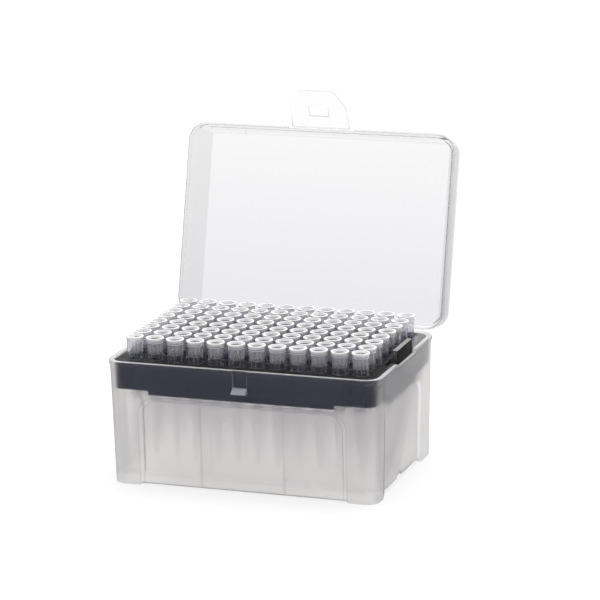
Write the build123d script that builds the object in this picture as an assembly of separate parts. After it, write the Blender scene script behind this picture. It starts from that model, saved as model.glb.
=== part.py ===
from build123d import *
import os
from math import atan2, cos, degrees, radians, sin

# Hinged box of pipette tips: a frosted base, a clear lid with a latch tab, a dark rack and 96 tips.
# Millimetres. Origin: centre of the base's footprint, on the plane of its feet.
# +X runs along the twelve columns of tips, +Y towards the hinge at the back, +Z up.

# --- driving dimensions ---------------------------------------------------------------------------

# grid of tips
COLUMNS = 12
ROWS = 8
PITCH = 9.0

# base: a tapered tray with posts at its corners and an arched recess in each wall
BASE_LENGTH = 119.5
BASE_DEPTH = 82.4
BASE_HEIGHT = 53.0
BASE_CORNER_R = 6.9
BASE_TAPER = 1.3            # how far each wall leans in between the rim and the feet
BASE_WALL = 1.5
RIM_LIP = 0.4
RIM_LIP_HEIGHT = 1.8
FLOOR_UNDERSIDE = 4.5
FLOOR_THICKNESS = 1.5
FOOT_RING_EXTRA = 1.0       # how much thicker the wall is below the floor than above it

# arched recesses in the walls, and the shelf that each leaves inside
ARCH_DEPTH = 0.8
ARCH_CUTTER_PROUD = 0.5     # how far the cutting shape stands outside the wall
ARCH_RUNOUT = 5.0           # how far the cutting shape runs below the feet
ARCH_SLOPE = 1.8
ARCH_DROP = 14.3            # from the rim down to the top of an arch
ARCH_CORNER_R = 8.0
FRONT_POST = 14.2           # width of a corner post on the long walls
SIDE_ARCH_WIDTH = 50.9
SIDE_ARCH_Y = -3.5
SHELF_DROP = 13.8           # from the rim down to the shelf
SHELF_DEPTH = 1.1
SHELF_CORNER_R = 3.0
FRONT_PANEL_LIFT = 0.7      # gap under the long walls, between the feet
SIDE_PANEL_LIFT = 2.3
SIDE_FOOT_R = 2.2           # rounding where a side foot meets the gap beside it
DRAIN_NOTCH_Y = -5.5
DRAIN_NOTCH_WIDTH = 7.4
DRAIN_NOTCH_HEIGHT = 1.4

# stiffening ribs inside the long walls
WALL_RIB_X = 2 * PITCH
WALL_RIB_DEPTH = 8.0
WALL_RIB_THICKNESS = 1.0
WALL_RIB_DROP = 17.0        # from the rim down to the top of a rib
WALL_RIB_ROOT = 0.375       # how far a rib is buried in the leaning wall at its foot

# latch nub and the channel above it, on the front wall
CHANNEL_WIDTH = 6.8
CHANNEL_DEPTH = 0.4
CHANNEL_NARROWING = 0.45    # each side, from the rim down to the nub
NUB_WIDTH = 6.3
NUB_DROP = 7.4
NUB_HEIGHT = 2.3
NUB_PROTRUSION = 2.6
NUB_LEDGE = 0.3             # how far it stands out at its top

# notch in the rim for the rack's handle
HANDLE_NOTCH_WIDTH = 26.4
HANDLE_NOTCH_DEPTH = 1.7

# rack: perforated plate with a skirt that stands on the shelves
PLATE_THICKNESS = 2.0
PLATE_DROP = 0.3            # plate's top face below the rim
RACK_CLEARANCE = 0.6
HOLE_DIAMETER = 6.9
SKIRT_THICKNESS = 1.3
SKIRT_CORNER_DROP = 12.1    # from the rim down to the skirt's edge at the corners
SKIRT_FOOT_LENGTH = 81.2    # deeper middle stretch of the skirt's long sides
SKIRT_FOOT_X = -0.8
SKIRT_SIDE_FOOT_LENGTH = 42.0
RACK_RIB_HEIGHT = 5.0
RACK_RIB_THICKNESS = 1.0

# lifting handle at the right end of the rack
HANDLE_LENGTH = 20.4
HANDLE_FOOT_LENGTH = 22.6
HANDLE_RISE = 5.0           # above the rim
HANDLE_THICKNESS = 2.4
HANDLE_FLARE = 0.5          # above the rim, where the ends start to slope in
HANDLE_CHAMFER = 0.4
HANDLE_REST_GAP = 0.3       # over the floor of the rim's notch
HANDLE_LID_GAP = 0.3        # to the side wall of the closed lid
HANDLE_SLOT_WIDTH = 2.6
HANDLE_SLOT_LENGTH = 28.6

# tips, and the holes they hang in; both are drawn with flats, because there are so many of each
TIP_SIDES = 10
TIP_PROTRUSION = 9.2        # above the rim of the base
TIP_LENGTH = 50.6
TIP_RIM_DIAMETER = 7.5
TIP_RIM_HEIGHT = 1.5
TIP_HEAD_DIAMETER = 7.2     # over the ribs that stand on the plate
TIP_BODY_DIAMETER = 6.3
TIP_POINT_DIAMETER = 1.3
TIP_BORE_DIAMETER = 5.5
TIP_POINT_BORE = 0.6

# lid
LID_OVERHANG = 1.2          # flange beyond the base's rim
LID_SEAL_GAP = 0.25
LID_HEIGHT = 16.0
LID_FLANGE_THICKNESS = 1.5
LID_FLANGE_WIDTH = 0.7
LID_WALL = 1.3
LID_TAPER = 0.8
LID_PANEL = 1.2
LID_EDGE_R = 2.0
LID_INNER_EDGE_R = 1.2
LID_LUG_X = 36.3
LID_LUG_WIDTH = 6.4
LID_LUG_HEIGHT = 1.8
LID_LUG_DEPTH = 1.0
LID_LUG_ROOT = 0.6          # how far a lug is buried in the wall and the panel

# hinge between lid and base, and the angle at which the open lid rests
HINGE_X = 36.0
HINGE_BEHIND_RIM = 2.6
HINGE_BELOW_RIM = 1.65
HINGE_PIN_R = 1.1
HINGE_CLEARANCE = 0.05
HINGE_EAR_R = 1.65
HINGE_EAR_THICKNESS = 1.6
HINGE_EAR_DROP = 3.0        # slope under an ear, down to the wall
HINGE_SIDE_GAP = 0.3
CLIP_WIDTH = 9.0
CLIP_R = 2.2
CLIP_ARM_ROOT = 1.0         # how far the clip's arm reaches in under the lid's flange
CLIP_ARM_CUT = 0.5          # share of the clip's radius at which the arm meets its ring
CLIP_MOUTH = 1.7
CLIP_LOWER_CUT = 40.0       # how far the mouth is turned below the horizontal
HEEL_DEPTH = 2.4
STOP_GAP = 0.1
OPEN_ANGLE = 105.0

# latch tab on the lid's front edge
TAB_WIDTH = 26.0
TAB_TOP_WIDTH = 15.8
TAB_LENGTH = 18.6
TAB_SHOULDER = 10.0
TAB_SHOULDER_R = 6.0
TAB_TOP_R = 2.5
TAB_THICKNESS = 1.0
TAB_WINDOW_WIDTH = 8.6
TAB_WINDOW_HEIGHT = 4.8
TAB_WINDOW_FROM = 5.9
TAB_HINGE_GAP = 0.3
TAB_SIDE_GAP = 2.2
TAB_REST_FOLD = 36.0

# --- derived sizes --------------------------------------------------------------------------------

BODY_LENGTH = BASE_LENGTH - 2 * RIM_LIP
BODY_DEPTH = BASE_DEPTH - 2 * RIM_LIP
TAPER_ANGLE = degrees(atan2(BASE_TAPER, BASE_HEIGHT))
CAVITY_LENGTH = BODY_LENGTH - 2 * BASE_WALL
CAVITY_DEPTH = BODY_DEPTH - 2 * BASE_WALL
CAVITY_CORNER_R = BASE_CORNER_R - RIM_LIP - BASE_WALL
FLOOR_TOP = FLOOR_UNDERSIDE + FLOOR_THICKNESS
ARCH_TOP = BASE_HEIGHT - ARCH_DROP
SHELF_TOP = BASE_HEIGHT - SHELF_DROP
FRONT_ARCH_WIDTH = BASE_LENGTH - 2 * FRONT_POST

PLATE_TOP = BASE_HEIGHT - PLATE_DROP
PLATE_UNDERSIDE = PLATE_TOP - PLATE_THICKNESS
TIP_TOP = BASE_HEIGHT + TIP_PROTRUSION
RACK_LENGTH = CAVITY_LENGTH - 2 * RACK_CLEARANCE
RACK_DEPTH = CAVITY_DEPTH - 2 * RACK_CLEARANCE
RACK_CORNER_R = CAVITY_CORNER_R - RACK_CLEARANCE

LID_BOTTOM = BASE_HEIGHT + LID_SEAL_GAP
LID_TOP = LID_BOTTOM + LID_HEIGHT
LID_LENGTH = BASE_LENGTH + 2 * LID_OVERHANG
LID_DEPTH = BASE_DEPTH + 2 * LID_OVERHANG
LID_CORNER_R = BASE_CORNER_R + LID_OVERHANG
LID_INSIDE_AT_HANDLE = LID_LENGTH / 2 - LID_FLANGE_WIDTH - LID_WALL - LID_TAPER * HANDLE_RISE / LID_HEIGHT
HANDLE_FACE_X = LID_INSIDE_AT_HANDLE - HANDLE_LID_GAP

HINGE_Y = BASE_DEPTH / 2 + HINGE_BEHIND_RIM
HINGE_Z = BASE_HEIGHT - HINGE_BELOW_RIM
HINGE_AXIS = Axis((0, HINGE_Y, HINGE_Z), (1, 0, 0))
EAR_OFFSET = CLIP_WIDTH / 2 + HINGE_SIDE_GAP + HINGE_EAR_THICKNESS / 2

TAB_HINGE_Y = -(LID_DEPTH / 2 - LID_FLANGE_WIDTH) - TAB_HINGE_GAP - TAB_THICKNESS / 2
TAB_HINGE_Z = LID_BOTTOM + TAB_THICKNESS / 2


# --- shared shapes --------------------------------------------------------------------------------

def many_sided(diameter):
    """Regular polygon across its corners, the outline of a tip or of its hole."""
    return RegularPolygon(diameter / 2, TIP_SIDES)


def taper_between(top_diameter, top, bottom_diameter, bottom):
    """Straight taper between two many-sided outlines."""
    narrowing = (top_diameter - bottom_diameter) / 2 * cos(radians(180 / TIP_SIDES))
    return extrude(Plane.XY.offset(top) * many_sided(top_diameter), top - bottom, dir=(0, 0, -1),
                   taper=degrees(atan2(narrowing, top - bottom)))


def grid_points(columns=range(COLUMNS)):
    """Centres of the tips, column by column from the left, front to back in each."""
    for column in columns:
        for row in range(ROWS):
            yield (column - (COLUMNS - 1) / 2) * PITCH, (row - (ROWS - 1) / 2) * PITCH


def rounded_block(length, depth, radius, low, high, lean=0.0):
    """Rounded rectangular prism from low to high; lean is its side angle, narrowing downwards."""
    top = Plane.XY.offset(high) * RectangleRounded(length, depth, radius)
    return extrude(top, high - low, dir=(0, 0, -1), taper=lean)


def at_rim(length, depth, drop):
    """Length and depth of a tapered outline at a given drop below the rim."""
    inset = 2 * BASE_TAPER * drop / BASE_HEIGHT
    return length - inset, depth - inset


def wall_plane(side, half_size):
    """Plane on a leaning wall: x along the wall, y up it, normal outwards, origin at foot level."""
    directions = {"front": (0, -1), "back": (0, 1), "right": (1, 0), "left": (-1, 0)}
    nx, ny = directions[side]
    foot = half_size - BASE_TAPER
    lean = radians(TAPER_ANGLE)
    normal = (nx * cos(lean), ny * cos(lean), -sin(lean))
    along = (-ny, nx, 0)
    return Plane(origin=(nx * foot, ny * foot, 0), x_dir=along, z_dir=normal)


def arch_outline(width, top, corner):
    """Arch open at its foot, drawn from below the feet up to its rounded shoulders."""
    half = width / 2
    outline = make_face(Polyline((-half, -ARCH_RUNOUT), (-half, top), (half, top), (half, -ARCH_RUNOUT),
                                 close=True))
    shoulders = outline.vertices().filter_by(lambda v: v.Y > 0)
    return fillet(shoulders, corner)


# --- base -----------------------------------------------------------------------------------------

def arch_centre(side):
    """Offset of an arch along its wall plane's x direction."""
    return {"front": 0.0, "back": 0.0, "right": SIDE_ARCH_Y, "left": -SIDE_ARCH_Y}[side]


def arch_recess(side):
    """Shallow arched recess cut into the outside of one wall, with sloping sides."""
    long_wall = side in ("front", "back")
    width = FRONT_ARCH_WIDTH if long_wall else SIDE_ARCH_WIDTH
    slope = ARCH_SLOPE if long_wall else ARCH_SLOPE / 2
    half_size = BODY_DEPTH / 2 if long_wall else BODY_LENGTH / 2
    plane = wall_plane(side, half_size)
    spread = slope * ARCH_CUTTER_PROUD / ARCH_DEPTH
    outer = arch_outline(width + 2 * spread, ARCH_TOP + spread, ARCH_CORNER_R + spread)
    inner = arch_outline(width - 2 * slope, ARCH_TOP - slope, ARCH_CORNER_R - slope)
    centre = arch_centre(side)
    outer = plane.offset(ARCH_CUTTER_PROUD) * Pos(centre, 0) * outer
    inner = plane.offset(-ARCH_DEPTH) * Pos(centre, 0) * inner
    return loft([outer, inner])


def arch_shelf(side):
    """Inside face of an arch: a raised panel whose level top carries the rack."""
    long_wall = side in ("front", "back")
    width = FRONT_ARCH_WIDTH if long_wall else SIDE_ARCH_WIDTH
    half_size = CAVITY_DEPTH / 2 if long_wall else CAVITY_LENGTH / 2
    plane = wall_plane(side, half_size)
    panel = arch_outline(width - 2 * ARCH_SLOPE, SHELF_TOP + SHELF_DEPTH, SHELF_CORNER_R)
    panel = plane.offset(-SHELF_DEPTH) * Pos(arch_centre(side), 0) * panel
    above = Pos(0, 0, SHELF_TOP + BASE_HEIGHT / 2) * Box(2 * BASE_LENGTH, 2 * BASE_DEPTH, BASE_HEIGHT)
    return extrude(panel, SHELF_DEPTH + BASE_WALL / 2) - above


def wall_rib(side, x):
    """Vertical rib that stiffens a long wall between two columns of tips."""
    sign = -1 if side == "front" else 1
    top = BASE_HEIGHT - WALL_RIB_DROP
    low = FLOOR_UNDERSIDE + FLOOR_THICKNESS / 2
    depth = WALL_RIB_DEPTH + BASE_WALL
    centre = sign * (CAVITY_DEPTH / 2 - BASE_TAPER + WALL_RIB_ROOT - depth / 2)
    return Pos(x, centre, (top + low) / 2) * Box(WALL_RIB_THICKNESS, depth, top - low)


def foot_openings():
    """Clearance under each wall between the corner feet, with a drain notch at the sides."""
    gaps = Pos(0, 0, FRONT_PANEL_LIFT / 2) * Box(FRONT_ARCH_WIDTH, 2 * BASE_DEPTH, FRONT_PANEL_LIFT)
    half = SIDE_ARCH_WIDTH / 2
    foot = half + SIDE_FOOT_R
    curve = SIDE_FOOT_R * (1 - cos(radians(45)))
    outline = [Line((-foot, 0), (foot, 0)),
               ThreePointArc((foot, 0), (half + curve, curve), (half, SIDE_FOOT_R)),
               Line((half, SIDE_FOOT_R), (half, SIDE_PANEL_LIFT)),
               Line((half, SIDE_PANEL_LIFT), (-half, SIDE_PANEL_LIFT)),
               Line((-half, SIDE_PANEL_LIFT), (-half, SIDE_FOOT_R)),
               ThreePointArc((-half, SIDE_FOOT_R), (-half - curve, curve), (-foot, 0))]
    side_gap = Plane.YZ * Pos(SIDE_ARCH_Y, 0) * make_face(outline)
    gaps += extrude(side_gap, BASE_LENGTH, both=True)
    slant = DRAIN_NOTCH_HEIGHT / 2
    notch_half = DRAIN_NOTCH_WIDTH / 2
    notch_top = SIDE_PANEL_LIFT + DRAIN_NOTCH_HEIGHT
    notch = make_face(Polyline((-notch_half, 0), (-notch_half, SIDE_PANEL_LIFT),
                               (slant - notch_half, notch_top), (notch_half - slant, notch_top),
                               (notch_half, SIDE_PANEL_LIFT), (notch_half, 0), close=True))
    return gaps + extrude(Plane.YZ * Pos(DRAIN_NOTCH_Y, 0) * notch, BASE_LENGTH, both=True)


def latch_channel():
    """Shallow channel from the rim down to the nub."""
    plane = wall_plane("front", BODY_DEPTH / 2)
    low = BASE_HEIGHT - NUB_DROP
    half = CHANNEL_WIDTH / 2
    narrow = half - CHANNEL_NARROWING
    high = BASE_HEIGHT + 1
    outline = make_face(Polyline((-narrow, low), (-half, high), (half, high), (narrow, low), close=True))
    return extrude(plane.offset(-CHANNEL_DEPTH) * outline, 2 * BASE_WALL)


def latch_nub():
    """Wedge that the tab's window catches on: sloping above, square below."""
    wall_y = -(BODY_DEPTH / 2 - BASE_TAPER * NUB_DROP / BASE_HEIGHT)
    top = BASE_HEIGHT - NUB_DROP
    root = wall_y + BASE_WALL / 2
    nose = wall_y - NUB_PROTRUSION
    profile = Polyline((root, top), (wall_y - NUB_LEDGE, top), (nose, top - NUB_HEIGHT * 3 / 4),
                       (nose, top - NUB_HEIGHT), (root, top - NUB_HEIGHT), close=True)
    face = Plane.YZ.offset(-NUB_WIDTH / 2) * make_face(profile)
    return extrude(face, NUB_WIDTH)


def hinge_ears(x):
    """Two ears on the back wall with the pin moulded between them."""
    root = BODY_DEPTH / 2 - BASE_WALL / 2
    ear_top = HINGE_Z + HINGE_EAR_R
    ear_low = HINGE_Z - 2 * HINGE_EAR_R
    nose = HINGE_Y + HINGE_EAR_R
    profile = make_face(Polyline((root, ear_low - HINGE_EAR_DROP), (root, ear_top), (HINGE_Y, ear_top),
                                 (nose, HINGE_Z), (nose, ear_low), close=True))
    profile += Pos(HINGE_Y, HINGE_Z) * Circle(HINGE_EAR_R)
    ears = Part()
    for side in (-1, 1):
        start = x + side * EAR_OFFSET - HINGE_EAR_THICKNESS / 2
        ears += extrude(Plane.YZ.offset(start) * profile, HINGE_EAR_THICKNESS)
    pin = Plane.YZ.offset(x - EAR_OFFSET) * Pos(HINGE_Y, HINGE_Z) * Circle(HINGE_PIN_R)
    return ears + extrude(pin, 2 * EAR_OFFSET)


def handle_notch():
    """Step down in the rim at the right, where the rack's handle stands."""
    low_width = HANDLE_NOTCH_WIDTH - 2 * HANDLE_NOTCH_DEPTH
    half = HANDLE_NOTCH_WIDTH / 2
    floor = BASE_HEIGHT - HANDLE_NOTCH_DEPTH
    outline = Polyline((-half - 1, BASE_HEIGHT + 1), (-low_width / 2, floor), (low_width / 2, floor),
                       (half + 1, BASE_HEIGHT + 1), close=True)
    face = Plane.YZ.offset(BASE_LENGTH / 2 - 4 * BASE_WALL) * make_face(outline)
    return extrude(face, 6 * BASE_WALL)


def make_base():
    shell = rounded_block(BODY_LENGTH, BODY_DEPTH, BASE_CORNER_R - RIM_LIP, 0, BASE_HEIGHT, TAPER_ANGLE)
    shell += rounded_block(BASE_LENGTH, BASE_DEPTH, BASE_CORNER_R, BASE_HEIGHT - RIM_LIP_HEIGHT, BASE_HEIGHT)
    for side in ("front", "back", "right", "left"):
        shell -= arch_recess(side)
    cavity = rounded_block(CAVITY_LENGTH, CAVITY_DEPTH, CAVITY_CORNER_R, FLOOR_TOP, BASE_HEIGHT, TAPER_ANGLE)
    for side in ("front", "back", "right", "left"):
        cavity -= arch_shelf(side)
    hollow_drop = BASE_HEIGHT - FLOOR_UNDERSIDE
    length, depth = at_rim(CAVITY_LENGTH, CAVITY_DEPTH, hollow_drop)
    underside = rounded_block(length - 2 * FOOT_RING_EXTRA, depth - 2 * FOOT_RING_EXTRA,
                              CAVITY_CORNER_R - FOOT_RING_EXTRA, 0, FLOOR_UNDERSIDE)
    shell = shell - cavity - underside - foot_openings()
    for x in (-WALL_RIB_X, WALL_RIB_X):
        shell += wall_rib("front", x)
        shell += wall_rib("back", x)
    shell = shell - latch_channel() + latch_nub() - handle_notch()
    for x in (-HINGE_X, HINGE_X):
        shell += hinge_ears(x)
    return shell


# --- rack -----------------------------------------------------------------------------------------

def rack_skirt():
    """Skirt that follows the leaning walls, deeper in the middle of each side, where it stands."""
    corner_edge = BASE_HEIGHT - SKIRT_CORNER_DROP
    outer = rounded_block(RACK_LENGTH, RACK_DEPTH, RACK_CORNER_R, SHELF_TOP, PLATE_TOP, TAPER_ANGLE)
    inner = rounded_block(RACK_LENGTH - 2 * SKIRT_THICKNESS, RACK_DEPTH - 2 * SKIRT_THICKNESS,
                          RACK_CORNER_R - SKIRT_THICKNESS, SHELF_TOP, PLATE_UNDERSIDE, TAPER_ANGLE)
    skirt = outer - inner
    height = corner_edge - SHELF_TOP
    slab = Pos(0, 0, SHELF_TOP + height / 2) * Box(2 * RACK_LENGTH, 2 * RACK_DEPTH, height)
    slab -= Pos(SKIRT_FOOT_X, 0, SHELF_TOP + height / 2) * Box(SKIRT_FOOT_LENGTH, 2 * RACK_DEPTH, height)
    slab -= Pos(0, SIDE_ARCH_Y, SHELF_TOP + height / 2) * Box(2 * RACK_LENGTH, SKIRT_SIDE_FOOT_LENGTH, height)
    return skirt - slab


def rack_ribs():
    """Ribs under the plate, midway between the rows of holes."""
    z = PLATE_UNDERSIDE - RACK_RIB_HEIGHT / 2
    long_rib = Box(RACK_LENGTH - SKIRT_THICKNESS, RACK_RIB_THICKNESS, RACK_RIB_HEIGHT)
    cross_rib = Box(RACK_RIB_THICKNESS, RACK_DEPTH - SKIRT_THICKNESS, RACK_RIB_HEIGHT)
    ribs = [Pos(0, y, z) * long_rib for y in (-2 * PITCH, 0, 2 * PITCH)]
    ribs += [Pos(x, 0, z) * cross_rib for x in (-3 * PITCH, 0, 3 * PITCH)]
    return ribs


def rack_handle():
    """Upright grip at the right end of the plate, wider at its foot."""
    low = BASE_HEIGHT - HANDLE_NOTCH_DEPTH + HANDLE_REST_GAP
    flare = BASE_HEIGHT + HANDLE_FLARE
    high = BASE_HEIGHT + HANDLE_RISE
    foot = HANDLE_FOOT_LENGTH / 2
    top = HANDLE_LENGTH / 2
    outline = make_face(Polyline((-foot, low), (-foot, flare), (-top, high), (top, high),
                                 (foot, flare), (foot, low), close=True))
    grip = extrude(Plane.YZ.offset(HANDLE_FACE_X - HANDLE_THICKNESS) * outline, HANDLE_THICKNESS)
    return chamfer(grip.edges().group_by(Axis.Z)[-1].filter_by(Axis.Y), HANDLE_CHAMFER)


def handle_slot():
    """Slot through the plate on the handle's inner side."""
    x = HANDLE_FACE_X - HANDLE_THICKNESS - HANDLE_SLOT_WIDTH / 2
    return Pos(x, 0, PLATE_TOP) * Box(HANDLE_SLOT_WIDTH, HANDLE_SLOT_LENGTH, 3 * PLATE_THICKNESS)


def make_rack():
    rack = rack_skirt()
    for rib in rack_ribs():
        rack += rib
    rack = rack - handle_slot() + rack_handle()
    hole = Plane.XY.offset(PLATE_UNDERSIDE - 1) * many_sided(HOLE_DIAMETER)
    hole = extrude(hole, PLATE_THICKNESS + 2)
    return rack - [Pos(x, y, 0) * hole for x, y in grid_points()]


# --- tips -----------------------------------------------------------------------------------------

def make_tip():
    """One hollow tip, point down, its shoulder standing on the rack's plate."""
    bottom = TIP_TOP - TIP_LENGTH
    rim_low = TIP_TOP - TIP_RIM_HEIGHT
    tip = extrude(Plane.XY.offset(rim_low) * many_sided(TIP_RIM_DIAMETER), TIP_RIM_HEIGHT)
    tip += extrude(Plane.XY.offset(PLATE_TOP) * many_sided(TIP_HEAD_DIAMETER), rim_low - PLATE_TOP)
    tip += taper_between(TIP_BODY_DIAMETER, PLATE_TOP, TIP_POINT_DIAMETER, bottom)
    return tip - taper_between(TIP_BORE_DIAMETER, TIP_TOP, TIP_POINT_BORE, bottom)


def make_tip_column(column):
    tip = make_tip()
    return Compound(children=[Pos(x, y, 0) * tip for x, y in grid_points([column])])


# --- lid and latch tab, modelled closed -----------------------------------------------------------

def lid_shell():
    length = LID_LENGTH - 2 * LID_FLANGE_WIDTH
    depth = LID_DEPTH - 2 * LID_FLANGE_WIDTH
    radius = LID_CORNER_R - LID_FLANGE_WIDTH
    lean = -degrees(atan2(LID_TAPER, LID_HEIGHT))
    foot = Plane.XY.offset(LID_BOTTOM)
    outer = extrude(foot * RectangleRounded(length, depth, radius), LID_HEIGHT, taper=-lean)
    outer = fillet(outer.edges().group_by(Axis.Z)[-1], LID_EDGE_R)
    inner = extrude(foot * RectangleRounded(length - 2 * LID_WALL, depth - 2 * LID_WALL, radius - LID_WALL),
                    LID_HEIGHT - LID_PANEL, taper=-lean)
    inner = fillet(inner.edges().group_by(Axis.Z)[-1], LID_INNER_EDGE_R)
    flange = extrude(foot * RectangleRounded(LID_LENGTH, LID_DEPTH, LID_CORNER_R), LID_FLANGE_THICKNESS)
    notch = Pos(0, -LID_DEPTH / 2, LID_BOTTOM) * Box(TAB_WIDTH + 2 * TAB_SIDE_GAP, 2 * LID_FLANGE_WIDTH,
                                                     4 * LID_FLANGE_THICKNESS)
    return outer + (flange - notch) - inner


def lid_lug(x):
    """Small lug inside the front wall, under the panel."""
    inset = LID_TAPER * (LID_HEIGHT - LID_PANEL) / LID_HEIGHT
    front = -(LID_DEPTH / 2 - LID_FLANGE_WIDTH - LID_WALL - inset)
    z = LID_TOP - LID_PANEL - LID_LUG_HEIGHT / 2
    lug = Box(LID_LUG_WIDTH, LID_LUG_DEPTH + LID_LUG_ROOT, LID_LUG_HEIGHT + LID_LUG_ROOT)
    return Pos(x, front + (LID_LUG_DEPTH - LID_LUG_ROOT) / 2, z + LID_LUG_ROOT / 2) * lug


def lid_clip(x):
    """Clip that snaps over the hinge pin, with a heel that stops the open lid against the wall."""
    ring = Circle(CLIP_R)
    bore = Circle(HINGE_PIN_R + HINGE_CLEARANCE)
    arm_low = LID_BOTTOM - HINGE_Z
    arm_high = arm_low + LID_FLANGE_THICKNESS
    arm_front = LID_DEPTH / 2 - CLIP_ARM_ROOT - HINGE_Y
    meet = CLIP_R * CLIP_ARM_CUT
    arm = make_face(Polyline((arm_front, arm_low), (arm_front, arm_high), (meet, arm_high), (CLIP_R, meet),
                             (0, 0), (-meet, arm_low), close=True))
    heel_reach = HINGE_Y - BODY_DEPTH / 2 - STOP_GAP
    heel_top = HINGE_Z - (BASE_HEIGHT - RIM_LIP_HEIGHT) + STOP_GAP
    heel = make_face(Polyline((0, -heel_top), (-heel_reach, -heel_top), (-heel_reach, -HEEL_DEPTH),
                              (0, -HEEL_DEPTH), close=True))
    heel = Rot(0, 0, OPEN_ANGLE) * heel
    mouth = Rot(0, 0, 180 + CLIP_LOWER_CUT) * Pos(CLIP_R, 0) * Rectangle(2 * CLIP_R, CLIP_MOUTH)
    section = ring + arm + heel - bore - mouth
    face = Plane.YZ.offset(x - CLIP_WIDTH / 2) * Pos(HINGE_Y, HINGE_Z) * section
    return extrude(face, CLIP_WIDTH)


def make_lid():
    lid = lid_shell()
    for x in (-LID_LUG_X, LID_LUG_X):
        lid += lid_lug(x)
    for x in (-HINGE_X, HINGE_X):
        lid += lid_clip(x)
    return lid


def make_latch_tab():
    """Flat tab with a window, hinged on the lid's front edge; built folded to its resting angle."""
    half = TAB_WIDTH / 2
    top = TAB_TOP_WIDTH / 2
    outline = make_face(Polyline((-half, 0), (-half, TAB_SHOULDER), (-top, TAB_LENGTH), (top, TAB_LENGTH),
                                 (half, TAB_SHOULDER), (half, 0), close=True))
    outline = fillet(outline.vertices().filter_by(lambda v: v.Y > TAB_SHOULDER + 1), TAB_TOP_R)
    outline = fillet(outline.vertices().filter_by(lambda v: abs(v.Y - TAB_SHOULDER) < 0.01),
                     TAB_SHOULDER_R)
    window_y = TAB_WINDOW_FROM + TAB_WINDOW_HEIGHT / 2
    outline -= Pos(0, window_y) * Rectangle(TAB_WINDOW_WIDTH, TAB_WINDOW_HEIGHT)
    leaf = extrude(outline, TAB_THICKNESS / 2, both=True)
    leaf += Rot(0, 90, 0) * Cylinder(TAB_THICKNESS / 2, TAB_WIDTH)
    flat = Pos(0, TAB_HINGE_Y, TAB_HINGE_Z) * Rot(180, 0, 0) * leaf
    return flat.rotate(Axis((0, TAB_HINGE_Y, TAB_HINGE_Z), (1, 0, 0)), TAB_REST_FOLD)


def opened(shape):
    """Swing a closed lid part back to the angle at which the open lid rests."""
    return shape.rotate(HINGE_AXIS, -OPEN_ANGLE)


# --- write the parts ------------------------------------------------------------------------------

os.makedirs("parts", exist_ok=True)
export_step(make_base(), "parts/base.step")
export_step(make_rack(), "parts/rack.step")
for column in range(COLUMNS):
    export_step(make_tip_column(column), f"parts/tips_column_{column + 1:02d}.step")
export_step(opened(make_lid()), "parts/lid.step")
export_step(opened(make_latch_tab()), "parts/latch_tab.step")
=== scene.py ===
import bmesh
import bpy
from math import cos, pi, radians, sin
from mathutils import Matrix, Vector


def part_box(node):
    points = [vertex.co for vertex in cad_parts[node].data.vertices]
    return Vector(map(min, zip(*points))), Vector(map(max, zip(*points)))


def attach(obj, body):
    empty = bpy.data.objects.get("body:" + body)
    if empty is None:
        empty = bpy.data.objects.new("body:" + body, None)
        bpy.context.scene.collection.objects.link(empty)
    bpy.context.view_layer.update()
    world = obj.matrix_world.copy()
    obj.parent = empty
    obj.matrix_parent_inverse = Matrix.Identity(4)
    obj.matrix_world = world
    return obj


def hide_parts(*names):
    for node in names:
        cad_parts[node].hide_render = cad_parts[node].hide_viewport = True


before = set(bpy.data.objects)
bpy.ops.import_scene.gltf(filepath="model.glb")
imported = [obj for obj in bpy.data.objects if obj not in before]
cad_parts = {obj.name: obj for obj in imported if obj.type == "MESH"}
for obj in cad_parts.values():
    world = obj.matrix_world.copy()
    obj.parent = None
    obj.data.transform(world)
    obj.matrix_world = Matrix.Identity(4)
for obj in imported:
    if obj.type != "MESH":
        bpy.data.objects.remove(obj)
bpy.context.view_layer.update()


# --- view -----------------------------------------------------------------------------------------
# A long lens, a little above the rim and to the right of the front: the lid leans away behind the
# tips and the right-hand wall is seen at a slant.

mm = 0.001
EYE = (418.8 * mm, -1167.0 * mm, 385.2 * mm)
TURN, TILT, ROLL = radians(19.186), radians(14.134), radians(-0.944)

camera = bpy.data.objects.new("camera", bpy.data.cameras.new("camera"))
bpy.context.collection.objects.link(camera)
bpy.context.scene.camera = camera
camera.data.sensor_width = 36
camera.data.lens = 182.5
camera.data.clip_start, camera.data.clip_end = 0.05, 20
back = Vector((sin(TURN) * cos(TILT), -cos(TURN) * cos(TILT), sin(TILT)))
level = Vector((0, 0, 1)).cross(back).normalized()
upward = back.cross(level)
right = level * cos(ROLL) + upward * sin(ROLL)
up = upward * cos(ROLL) - level * sin(ROLL)
camera.matrix_world = Matrix.Translation(EYE) @ Matrix((right, up, back)).transposed().to_4x4()


# --- base -----------------------------------------------------------------------------------------
# One moulding in frosted natural polypropylene, so what stands close behind its walls shows clearly
# and what stands further in melts into soft streaks. Walls, arches, nub and hinge ears are one skin.

WHITE, BLACK = (1, 1, 1, 1), (0, 0, 0, 1)
OUTER, INNER, EDGE, NUB_FACE, FLOOR, RIM, SLOPE = range(7)

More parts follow.
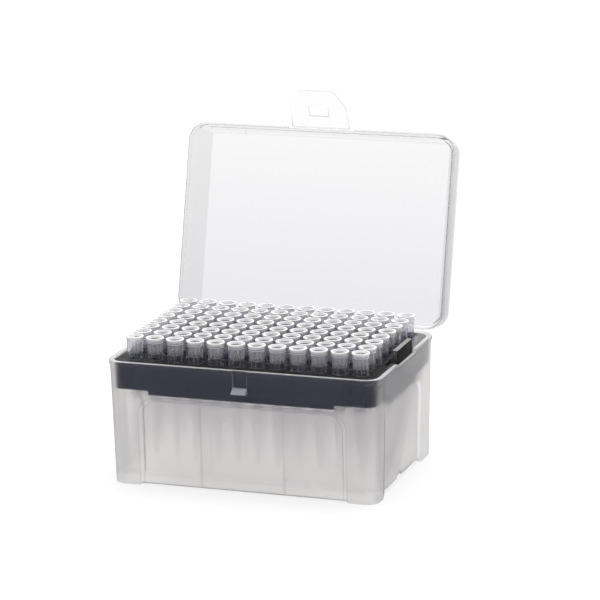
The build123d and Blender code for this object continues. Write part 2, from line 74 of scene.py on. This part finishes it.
rim_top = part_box("base")[1].z
LIP = rim_top - 3 * mm                          # the rim's lip lies above this height
FRONT_WALL, SIDE_WALL = 37 * mm, 55 * mm        # a wall lies outside this y, or this x
SIDE_FACE = 57 * mm                             # a side wall's outer face lies outside this x
HINGE_EARS = 42.2 * mm                          # the hinge ears lie behind this y
FRONT_POST = 45.5 * mm                          # x where a corner post of the front wall begins
SIDE_POST, SIDE_STEP = -28.8 * mm, -29.6 * mm   # y where a side wall's post ends, and of the step there
ARCH_SLOPE = (17 * mm, 23 * mm)                 # y of the rear slope of a side wall's arch
ARCH_TOP, RIB_TOP = 38 * mm, 37 * mm            # heights where the arches and the inner ribs end
INNER_RIB, RIB_SHADE_LINE = 18 * mm, 18.2 * mm       # x of an inner rib, and of the painted shade line over it in the front wall
NUB_WIDTH, NUB_FRONT = 6.8 * mm, -41 * mm
NUB_TOP, NUB_FOOT = rim_top - 7.2 * mm, rim_top - 9.9 * mm


class Value:
    """A socket that carries numbers; Python's operators add Math nodes to its tree."""

    def __init__(self, shading, socket):
        self.shading, self.socket = shading, socket

    def __add__(self, other):
        return self.shading.maths("ADD", self, other)

    def __radd__(self, other):
        return self.shading.maths("ADD", other, self)

    def __sub__(self, other):
        return self.shading.maths("SUBTRACT", self, other)

    def __rsub__(self, other):
        return self.shading.maths("SUBTRACT", other, self)

    def __mul__(self, other):
        return self.shading.maths("MULTIPLY", self, other)

    def __rmul__(self, other):
        return self.shading.maths("MULTIPLY", other, self)

    def distance(self, start):
        return self.shading.maths("ABSOLUTE", self - start)

    def clamped(self):
        return self.shading.maths("MINIMUM", self.shading.maths("MAXIMUM", self, 0.0), 1.0)

    def fade(self, start, end):
        """0 at the start and before it, 1 at the end and past it."""
        return ((self - start) * (1 / (end - start))).clamped()


class Shading:
    """The nodes of a material or of the room, around its main shader."""

    def __init__(self, owner, constants, shader="Principled BSDF"):
        owner.use_nodes = True
        self.owner, self.tree = owner, owner.node_tree
        self.shader = self.tree.nodes[shader]
        self.coordinates = self.node("ShaderNodeTexCoord").outputs
        self.place = self.coordinates["Object"]
        self.shade(constants)

    def node(self, kind, inputs=None, **settings):
        """Add a node; its settings come first, because they decide which sockets it has."""
        made = self.tree.nodes.new(kind)
        for setting, choice in settings.items():
            setattr(made, setting, choice)
        for key, value in (inputs or {}).items():
            self.feed(made.inputs[key], value)
        return made

    def feed(self, socket, value):
        """Link a value to a socket, or set the socket to a constant."""
        if isinstance(value, Value):
            value = value.socket
        if isinstance(value, bpy.types.NodeSocket):
            self.tree.links.new(value, socket)
        else:
            socket.default_value = value

    def shade(self, inputs):
        """Feed the main shader."""
        for name, value in inputs.items():
            self.feed(self.shader.inputs[name], value)

    def maths(self, operation, *values):
        made = self.node("ShaderNodeMath", dict(enumerate(values)), operation=operation)
        return Value(self, made.outputs[0])

    def along(self, axis):
        """How far along an axis of the object a place lies."""
        return Value(self, self.node("ShaderNodeSeparateXYZ", {0: self.place}).outputs[axis])

    def noise(self, scale, detail=3.0):
        noise = self.node("ShaderNodeTexNoise", {"Vector": self.place, "Scale": scale, "Detail": detail})
        return Value(self, noise.outputs["Fac"])

    def mix(self, factor, first, second):
        """One colour where the factor is 0 and another where it is 1."""
        return self.node("ShaderNodeMix", {0: factor, 6: first, 7: second}, data_type="RGBA").outputs[2]

    def bump(self, height, strength):
        inputs = {"Height": height, "Strength": strength, "Distance": 0.05 * mm}
        return self.node("ShaderNodeBump", inputs).outputs[0]


def frosting(name, roughness, low, high, passes=1.0, ior=1.33, with_painted_shade=False):
    """Natural polypropylene, a little cloudy, with a faint warm tint where light has passed through it.

    The one with painted shade is a little darker on the posts. It has painted shade on the side walls'
    front posts, painted shadow lines along the steps beside them and painted shade lines over the inner ribs.
    """
    constants = {"Transmission Weight": passes, "IOR": ior, "Specular Tint": (0.4, 0.5, 0.9, 1)}
    plastic = Shading(bpy.data.materials.new(name), constants)
    cloud = plastic.noise(60)
    colour = plastic.mix(cloud, low, high)
    matt = roughness + 0.06 * cloud + 0.24 * plastic.along("Z").fade(9 * mm, 3.444 * mm)
    if with_painted_shade:
        outward, height = plastic.along("X").distance(0), plastic.along("Z")
        front_post = outward.fade(FRONT_POST, FRONT_POST + 1 * mm)
        side = outward.fade(SIDE_FACE, SIDE_FACE + 1 * mm)
        side_post_shade = side * plastic.along("Y").fade(SIDE_POST, SIDE_POST - 1 * mm)
        step_shadow = side * plastic.along("Y").distance(SIDE_STEP).fade(1 * mm, 0.375 * mm)
        step_shadow = step_shadow * height.fade(ARCH_TOP, ARCH_TOP - 4 * mm)
        shade_over_rib = outward.distance(RIB_SHADE_LINE).fade(0.933 * mm, 0.267 * mm)
        shade_over_rib = shade_over_rib * height.fade(RIB_TOP, RIB_TOP - 2 * mm)
        # Painted shade on the side walls' front posts, painted shadow along the steps and painted shade over
        # the inner ribs; the posts are a little darker too.
        dimmer = 0.13 * front_post - 0.09 * side + 0.23 * side_post_shade + 0.45 * step_shadow + 0.22 * shade_over_rib
        colour = plastic.mix(dimmer, colour, BLACK)
        matt = matt + 0.10 * (front_post - side)
    plastic.shade({"Base Color": colour, "Roughness": matt,
                   "Normal": plastic.bump(plastic.noise(2500, 2), 0.04)})
    return plastic


def gentle(edge, across):
    """Whether an edge is a shallow crease round a panel of the walls that face across."""
    if not edge.is_manifold or not radians(16) < edge.calc_face_angle() < radians(44):
        return False
    ends = [corner.co for corner in edge.verts]
    nearest = FRONT_WALL if across.y else SIDE_WALL
    return (all(0.2 * mm < end.z < 42 * mm and end.y < HINGE_EARS for end in ends)
            and ends[0].z + ends[1].z > 9 * mm
            and all(abs(face.normal.xy.dot(across)) > 0.8 for face in edge.link_faces)
            and all(abs(end.xy.dot(across)) > nearest for end in ends))


def sharp(edge):
    """Whether an edge is one of the longer sharp ones between faces of some size."""
    return (edge.is_manifold and edge.calc_face_angle() > radians(40) and edge.calc_length() > 0.9 * mm
            and min(face.calc_area() for face in edge.link_faces) > 2 * mm * mm)


def rounded(solid, edges, offset, segments):
    """Round edges off, and mark the faces that come of it."""
    made = bmesh.ops.bevel(solid, geom=edges, offset=offset, affect="EDGES", segments=segments, profile=0.5,
                           material=-1, clamp_overlap=False)
    for face in made["faces"]:
        face.material_index = EDGE


def moulding(node, rounding, creases=0.0):
    """A copy of a CAD node with its edges rounded, as they leave the mould."""
    solid = bmesh.new()
    solid.from_mesh(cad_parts[node].data)
    bmesh.ops.remove_doubles(solid, verts=solid.verts, dist=1e-6)
    bmesh.ops.dissolve_limit(solid, angle_limit=radians(0.5), verts=solid.verts, edges=solid.edges)
    if creases:
        for offset, across in ((creases, Vector((0, 1))), (1.8 * creases, Vector((1, 0)))):
            rounded(solid, [edge for edge in solid.edges if gentle(edge, across)], offset, 1)
    rounded(solid, [edge for edge in solid.edges if sharp(edge)], rounding, 2)
    return solid


def settle(node, solid, finishes, body, crease=32):
    """Make the piece that stands for a CAD node, smooth up to a crease of so many degrees."""
    mesh = bpy.data.meshes.new(node + "_detailed")
    solid.to_mesh(mesh)
    for finish in finishes:
        mesh.materials.append(finish.owner)
    mesh.shade_smooth()
    mesh.set_sharp_from_angle(angle=radians(crease))
    piece = bpy.data.objects.new(node + "_detailed", mesh)
    bpy.context.collection.objects.link(piece)
    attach(piece, body)
    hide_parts(node)
    return piece


def base_finish(face):
    """Which finish a face of the base has."""
    middle, normal = face.calc_center_median(), face.normal
    if normal.z > 0.9 and middle.z > LIP:
        return RIM
    if abs(middle.x) < NUB_WIDTH / 2 and middle.y < NUB_FRONT and NUB_FOOT < middle.z < NUB_TOP:
        return NUB_FACE
    if (abs(middle.x) > SIDE_WALL and ARCH_SLOPE[0] < middle.y < ARCH_SLOPE[1] and 2 * mm < middle.z < RIB_TOP
            and 0.25 < -normal.y < 0.9 and middle.x * normal.x > 0):
        return SLOPE
    at_the_top = middle.z > rim_top - 0.4 * mm and normal.z < 0.6
    if face.material_index == EDGE and (middle.z < LIP or at_the_top):
        return EDGE
    on_floor = abs(normal.z) > 0.9 and 4 * mm < middle.z < 7 * mm
    on_rib = abs(abs(middle.x) - INNER_RIB) < 0.7 * mm and abs(middle.y) < 39 * mm
    if on_floor or on_rib and 6 * mm < middle.z < RIB_TOP:
        return FLOOR
    return INNER if normal.xy.dot(middle.xy) < -1e-6 else OUTER


base_finishes = (
    frosting("frosted_plastic", 0.30, (0.950, 0.931, 0.933, 1), (0.970, 0.951, 0.953, 1), with_painted_shade=True),
    frosting("frosted_plastic_inside", 0.40, (0.970, 0.957, 0.952, 1), (0.990, 0.977, 0.972, 1), ior=1.30),
    # Rounded edges and creases are painted darker grey: painted shade lines.
    frosting("frosted_plastic_edge_shade", 0.36, (0.72, 0.72, 0.74, 1), (0.76, 0.76, 0.78, 1), 0.8),
    # The nub is painted grey, darker than the walls: painted shade.
    frosting("frosted_plastic_nub", 0.40, (0.74, 0.74, 0.76, 1), (0.80, 0.80, 0.82, 1), 0.65),
    frosting("frosted_plastic_floor", 0.60, (0.99, 0.985, 0.98, 1), (1, 0.995, 0.99, 1), ior=1.06),
    frosting("frosted_plastic_rim_glow", 0.25, (0.84, 0.84, 0.85, 1), (0.88, 0.88, 0.89, 1), 0.75),
    frosting("frosted_plastic_slope_highlight", 0.36, (0.98, 0.97, 0.97, 1), (1, 0.99, 0.99, 1), 0.1))
# The rim's top glows a little: painted light.
base_finishes[RIM].shade({"Emission Color": WHITE, "Emission Strength": 0.07})
# The rear slopes of the side arches are near white and glow a little: a painted highlight.
base_finishes[SLOPE].shade({"Emission Color": (1, 0.985, 0.98, 1), "Emission Strength": 0.13})

base = moulding("base", 0.2 * mm, creases=0.3 * mm)
for face in base.faces:
    face.material_index = base_finish(face)
settle("base", base, base_finishes, "case")


# --- rack -----------------------------------------------------------------------------------------
# One moulding in matt dark grey plastic: a plate with a countersunk hole for each tip, a skirt down
# to the shelves in the base, and a lifting handle with a fine grid on its outer face.

SKIN, PLATE, HANDLE_TOP, GRID = range(4)
GRID_ACROSS, GRID_UP = 3.0 * mm, 1.6 * mm       # pitches of the handle's grid
PLATE_MIDDLE = rim_top - 1 * mm                 # a height halfway through the plate
HANDLE_BACK = 56 * mm                           # the handle lies outside this x
HANDLE_FOOT, HANDLE_BROW = rim_top - 0.2 * mm, rim_top + 4.7 * mm


def lines(plastic, axis, pitch, share):
    """1 on lines across an axis, a pitch apart, and 0 between them."""
    wave = plastic.maths("SINE", plastic.along(axis) * (2 * pi / pitch))
    return ((wave - cos(pi * share)) * 8.0).clamped()


def grid_lines(plastic):
    return (lines(plastic, "Y", GRID_ACROSS, 0.25) + lines(plastic, "Z", GRID_UP, 0.18)).clamped()


def dark_finish(name, low, high, roughness, ior, pattern=None):
    """Matt dark grey plastic, with a fine speckle or a pattern of its own."""
    plastic = Shading(bpy.data.materials.new(name), {"IOR": ior})
    speckle = plastic.noise(900, 4)
    share = pattern(plastic) if pattern else speckle
    plastic.shade({"Base Color": plastic.mix(share, low, high), "Roughness": roughness + 0.12 * speckle,
                   "Normal": plastic.bump(plastic.noise(4000, 2), 0.3)})
    return plastic


def rack_finish(face):
    """Which finish a face of the rack has."""
    middle, normal = face.calc_center_median(), face.normal
    if middle.z > HANDLE_BROW and normal.z > 0.3:
        return HANDLE_TOP
    if middle.x > HANDLE_BACK and middle.z > HANDLE_FOOT:
        return GRID if normal.x > 0.5 else PLATE
    return PLATE if normal.z > 0.3 and middle.z > PLATE_MIDDLE else SKIN


# The skin is painted lighter and bluer than the plate: its blue is painted light, the haze the frosted wall
# in front of it scatters.
rack_finishes = (
    dark_finish("dark_plastic", (0.035, 0.036, 0.047, 1), (0.047, 0.048, 0.062, 1), 0.30, 1.22),
    dark_finish("dark_plastic_plate", (0.009, 0.008, 0.006, 1), (0.016, 0.014, 0.011, 1), 0.34, 1.16),
    # The handle's top face is painted lighter grey: a painted highlight.
    dark_finish("dark_plastic_handle_top_highlight", (0.17, 0.165, 0.16, 1), (0.33, 0.32, 0.31, 1), 0.40, 1.22),
    dark_finish("dark_plastic_grid", (0.002, 0.002, 0.002, 1), (0.05, 0.05, 0.05, 1), 0.30, 1.04, grid_lines))

# A glossy coat on the plate's side margins, stronger towards the back, is a painted reflection: the sheen of
# the white lid and backdrop there.
plate = rack_finishes[PLATE]
painted_sheen = plate.along("X").distance(0).fade(51.5 * mm, 53.5 * mm) * plate.along("Y").fade(-28 * mm, -3 * mm)
plate.shade({"Coat Weight": painted_sheen, "Coat IOR": 2.0, "Coat Roughness": 0.08})

rack = moulding("rack", 0.15 * mm)
for face in rack.faces:
    face.material_index = rack_finish(face)
settle("rack", rack, rack_finishes, "case")


# --- tips -----------------------------------------------------------------------------------------
# Clear polypropylene, one tip a single moulding: a thick rim, a neck with upright ribs that stand on
# the plate, and a long taper to the point, hollow all the way down.

COLUMNS, ROWS, PITCH = 12, 8, 9 * mm
TIP_STEPS, RIBS = 36, 12
STEPS_PER_RIB = TIP_STEPS // RIBS
BORE_RADIUS, NECK_RADIUS, RIB_RADIUS = 2.9 * mm, 3.25 * mm, 3.31 * mm
POINT, NECK, HEAD, RIB, TAPER, COLLAR, LINING, FOOT = range(8)
FOOT_TOP = -6.75

# Radius and height below the rim, in millimetres: down the outside, then up the bore.
OUTSIDE = [
    (3.68, 0), (3.75, -0.1), (3.72, -0.4), (3.46, -1.45), (3.38, -1.75),
    (3.50, -1.9), (3.50, -2.1), (3.26, -2.25), (3.226, FOOT_TOP), (3.22, -7.6),
    (3.32, -7.75), (3.30, -7.95), (3.06, -8.15), (3.02, -9.5), (2.95, -13.0), (2.30, -26.0), (0.65, -50.6)]
BORE = [
    (0.30, -50.6), (1.85, -26.0), (2.55, -10.5), (2.649, FOOT_TOP), (2.78, -1.8),
    (2.90, -0.90), (3.00, -0.80), (3.04, -0.2), (3.12, 0)]

# The lowest height of each band and its finish, from the rim down.
OUTER_BANDS = ((-0.3, HEAD), (-1.2, COLLAR), (-1.7, RIB), (-2.1, COLLAR), (-2.25, RIB))
BORE_BANDS = ((-0.1, HEAD), (-0.85, LINING))
LOWER_BANDS = ((FOOT_TOP, NECK), (-10.5, FOOT), (-26.0, TAPER), (-60.0, POINT))


def step_of(place):
    """Which of a tip's upright strips a place lies in."""
    return round((place.xy.angle_signed(Vector((1, 0))) / (2 * pi) % 1) * TIP_STEPS - 0.5)


def under_rib(face):
    """Whether a rib stands on a face of the neck."""
    middle = face.calc_center_median()
    outer = middle.xy.length > BORE_RADIUS and face.normal.xy.dot(middle.xy) > 0
    return outer and -9.5 * mm < middle.z < -2.3 * mm and step_of(middle) % STEPS_PER_RIB == 0


def band(face):
    """Which finish a face of a tip has."""
    middle = face.calc_center_median()
    upper = OUTER_BANDS if middle.xy.length > NECK_RADIUS else BORE_BANDS
    return next(finish for lowest, finish in upper + LOWER_BANDS if middle.z > lowest * mm)


def crest(face):
    """Which finish the crest of a rib has; every third foot takes the foot's painted shade."""
    middle = face.calc_center_median()
    if middle.z > FOOT_TOP * mm:
        return RIB
    return FOOT if step_of(middle) // STEPS_PER_RIB % 3 == 0 else NECK


def shaped_tip():
    """One tip, with the middle of its rim at the origin."""
    tip = bmesh.new()
    ring = [tip.verts.new((radius * mm, 0, height * mm)) for radius, height in OUTSIDE + BORE]
    edges = [tip.edges.new(ends) for ends in zip(ring, ring[1:] + ring[:1])]
    bmesh.ops.spin(tip, geom=ring + edges, axis=(0, 0, 1), cent=(0, 0, 0), angle=2 * pi, steps=TIP_STEPS,
                   use_merge=True)
    bmesh.ops.remove_doubles(tip, verts=tip.verts, dist=1e-6)
    bmesh.ops.recalc_face_normals(tip, faces=tip.faces)
    ribs = [face for face in tip.faces if under_rib(face)]
    raised = bmesh.ops.extrude_face_region(tip, geom=ribs)["geom"]
    crests = [part for part in raised if isinstance(part, bmesh.types.BMFace)]
    for corner in raised:
        if isinstance(corner, bmesh.types.BMVert):
            corner.co.xy = corner.co.xy.normalized() * max(RIB_RADIUS, corner.co.xy.length)
    bmesh.ops.delete(tip, geom=ribs, context="FACES_KEEP_BOUNDARY")
    bmesh.ops.recalc_face_normals(tip, faces=tip.faces)
    for face in tip.faces:
        face.material_index = band(face)
    for face in crests:
        face.material_index = crest(face)
    return tip


def tip_finish(name, clearness, roughness, low, high, ior=1.45):
    """Clear polypropylene; the thicker it is, the more its own cloudiness shows."""
    plastic = Shading(bpy.data.materials.new(name), {"Transmission Weight": clearness, "IOR": ior})
    plastic.shade({"Base Color": plastic.mix(plastic.noise(200), low, high),
                   "Roughness": roughness + 0.06 * plastic.noise(500)})
    return plastic


tip_finishes = (
    tip_finish("tip_plastic", 0.97, 0.05, (0.96, 0.96, 0.97, 1), (0.975, 0.975, 0.98, 1)),
    tip_finish("tip_plastic_neck", 0.87, 0.03, (0.925, 0.925, 0.955, 1), (0.94, 0.94, 0.97, 1), 1.12),
    tip_finish("tip_plastic_rim", 0.12, 0.20, (0.985, 0.98, 0.98, 1), (0.99, 0.99, 0.99, 1), 1.35),
    # The rib crests are painted darker and bluer so that they read as lines: painted shade.
    tip_finish("tip_plastic_rib_shade", 0.90, 0.06, (0.66, 0.67, 0.72, 1), (0.70, 0.71, 0.76, 1), 1.12),
    tip_finish("tip_plastic_body", 0.85, 0.10, (0.91, 0.91, 0.92, 1), (0.93, 0.93, 0.94, 1)),
    tip_finish("tip_plastic_collar", 0.60, 0.08, (0.97, 0.97, 0.98, 1), (0.98, 0.98, 0.99, 1), 1.35),
    tip_finish("tip_plastic_lining_glow", 0.08, 0.10, (0.99, 0.99, 0.99, 1), WHITE, 1.3),
    # Where the neck stands in the plate, the tip is painted darker and bluer: painted shade.
    tip_finish("tip_plastic_foot_shade", 0.98, 0.03, (0.68, 0.69, 0.76, 1), (0.72, 0.73, 0.80, 1), 1.12))
# The bore's lining glows a little: painted light.
tip_finishes[LINING].shade({"Emission Color": (1, 0.99, 0.98, 1), "Emission Strength": 0.10})

tip_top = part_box("tips_column_01")[1].z
single = bpy.data.meshes.new("tip")
shaped_tip().to_mesh(single)
for column in range(COLUMNS):
    tips = bmesh.new()
    for row in range(ROWS):
        start = len(tips.verts)
        tips.from_mesh(single)
        tips.verts.ensure_lookup_table()
        # Each tip was dropped in at a turn of its own.
        turned = Matrix.Rotation((column * 5 + row * 3) * 0.7, 3, "Z")
        place = ((column - (COLUMNS - 1) / 2) * PITCH, (row - (ROWS - 1) / 2) * PITCH, tip_top)
        bmesh.ops.rotate(tips, verts=tips.verts[start:], matrix=turned)
        bmesh.ops.translate(tips, verts=tips.verts[start:], vec=place)
    name = f"tips_column_{column + 1:02d}"
    settle(name, tips, tip_finishes, "case", crease=40)


# --- lid and latch tab ----------------------------------------------------------------------------
# The lid is one moulding in clear polypropylene that clips round the pins of the base's hinge ears.
# The tab hangs on its front edge by a thin strip of the same moulding.

LID_SIDE = 55.5 * mm
END_WALL_AREA = 2000 * mm * mm
TAB_FACE_AREA = 20 * mm * mm
PANEL, WALL, END_WALL = 0, 1, 3


def clear_finish(name, low, high, roughness, ior):
    """Clear polypropylene, tinted darker and bluer towards the hinge: painted shade."""
    plastic = Shading(bpy.data.materials.new(name), {"Transmission Weight": 1.0, "IOR": ior})
    painted_shade_fade = plastic.along("Z").fade(60 * mm, 143.33 * mm)
    plastic.shade({"Base Color": plastic.mix(painted_shade_fade, low, high),
                   "Roughness": roughness + 0.06 * plastic.noise(80)})
    return plastic


def lid_finish(face):
    """Which finish a face of the lid has."""
    if face.material_index == EDGE:
        return EDGE
    if abs(face.calc_center_median().x) > LID_SIDE:
        return WALL
    return END_WALL if face.calc_area() < END_WALL_AREA else PANEL


lid_finishes = (
    clear_finish("clear_plastic", (0.850, 0.845, 0.875, 1), (0.990, 0.988, 0.988, 1), 0.12, 1.28),
    # The side walls and end walls are painted darker than the panel: painted shade.
    clear_finish("clear_plastic_wall_shade", (0.74, 0.735, 0.755, 1), (0.86, 0.85, 0.85, 1), 0.06, 1.14),
    clear_finish("clear_plastic_edge", (0.94, 0.935, 0.94, 1), (0.96, 0.95, 0.95, 1), 0.05, 1.08),
    clear_finish("clear_plastic_end_wall_shade", (0.84, 0.835, 0.85, 1), (0.90, 0.89, 0.89, 1), 0.10, 1.19))
lid = moulding("lid", 0.2 * mm)
for side in (-1, 1):
    bmesh.ops.bisect_plane(lid, geom=lid.verts[:] + lid.edges[:] + lid.faces[:], dist=1e-7,
                           plane_co=(side * LID_SIDE, 0, 0), plane_no=(1, 0, 0))
for face in lid.faces:
    face.material_index = lid_finish(face)
settle("lid", lid, lid_finishes, "lid")

tab_finishes = (
    clear_finish("clear_plastic_tab", (0.995, 0.995, 0.995, 1), (0.998, 0.998, 0.998, 1), 0.12, 1.15),
    # The tab's small faces, round its edges, are painted grey: painted shade lines.
    clear_finish("clear_plastic_tab_edge_shade", (0.68, 0.68, 0.69, 1), (0.70, 0.70, 0.71, 1), 0.20, 1.28))
tab = moulding("latch_tab", 0.15 * mm)
for face in tab.faces:
    face.material_index = int(face.calc_area() < TAB_FACE_AREA)
settle("latch_tab", tab, tab_finishes, "latch")


# --- studio ---------------------------------------------------------------------------------------
# A pale paper floor, a white room that is dimmer behind the viewer, and one broad square lamp
# overhead. The floor glows where it is seen directly or through the plastic; its glow is dimmer under
# the box, a painted shadow.

# The dimmer middle is a painted shadow of the box.
UNDER_BOX = 0.63      # how bright the floor's middle glows, against 1 round the box
LAMP_PLACE, LAMP_AIM = Vector((0.0, 0.25, 1.2)), Vector((0, 0, 0.05))

floor = bmesh.new()
bmesh.ops.create_grid(floor, x_segments=1, y_segments=1, size=3)
floor_mesh = bpy.data.meshes.new("floor")
floor.to_mesh(floor_mesh)
floor_object = bpy.data.objects.new("floor", floor_mesh)
bpy.context.collection.objects.link(floor_object)

paper = Shading(bpy.data.materials.new("floor"), {"Roughness": 0.9})
rays = paper.node("ShaderNodeLightPath").outputs
paper.shade({"Base Color": paper.mix(rays["Is Camera Ray"], (0.5, 0.5, 0.5, 1), (0.95, 0.95, 0.95, 1))})
length = paper.node("ShaderNodeVectorMath", {0: paper.place}, operation="LENGTH")
outward = Value(paper, length.outputs["Value"])
glow_with_painted_shadow = UNDER_BOX + (1 - UNDER_BOX) * outward.fade(40 * mm, 123.33 * mm)
directly = 0.75 * Value(paper, rays["Is Camera Ray"])
through = Value(paper, rays["Is Transmission Ray"]) * glow_with_painted_shadow
glow = paper.node("ShaderNodeEmission", {"Color": WHITE, "Strength": 1.0})
blend = paper.node("ShaderNodeMixShader", {
    0: paper.maths("MAXIMUM", directly, through), 1: paper.shader.outputs[0], 2: glow.outputs[0]})
paper.feed(paper.tree.nodes["Material Output"].inputs["Surface"], blend.outputs[0])
floor_mesh.materials.append(paper.owner)

world = bpy.data.worlds.new("room")
bpy.context.scene.world = world
room = Shading(world, {"Color": WHITE}, "Background")
facing = room.node("ShaderNodeSeparateXYZ", {0: room.coordinates["Generated"]})
ramp = room.node("ShaderNodeMapRange", {
    "Value": facing.outputs["Y"], "From Min": -1.0, "From Max": 0.2, "To Min": 0.40, "To Max": 1.1})
ray = room.node("ShaderNodeLightPath").outputs["Is Camera Ray"]
room.shade({"Strength": room.maths("MAXIMUM", ray, ramp.outputs["Result"])})

lamp = bpy.data.lights.new("overhead", "AREA")
lamp.size, lamp.energy = 0.9, 12.0
lamp_object = bpy.data.objects.new("overhead", lamp)
bpy.context.collection.objects.link(lamp_object)
lamp_object.location = LAMP_PLACE
lamp_object.rotation_euler = (LAMP_AIM - LAMP_PLACE).to_track_quat("-Z", "Y").to_euler()

scene = bpy.context.scene
scene.view_settings.view_transform = "Standard"
scene.cycles.max_bounces = 128
scene.cycles.diffuse_bounces = 12
scene.cycles.glossy_bounces = 12
scene.cycles.transmission_bounces = 128
scene.cycles.transparent_max_bounces = 16
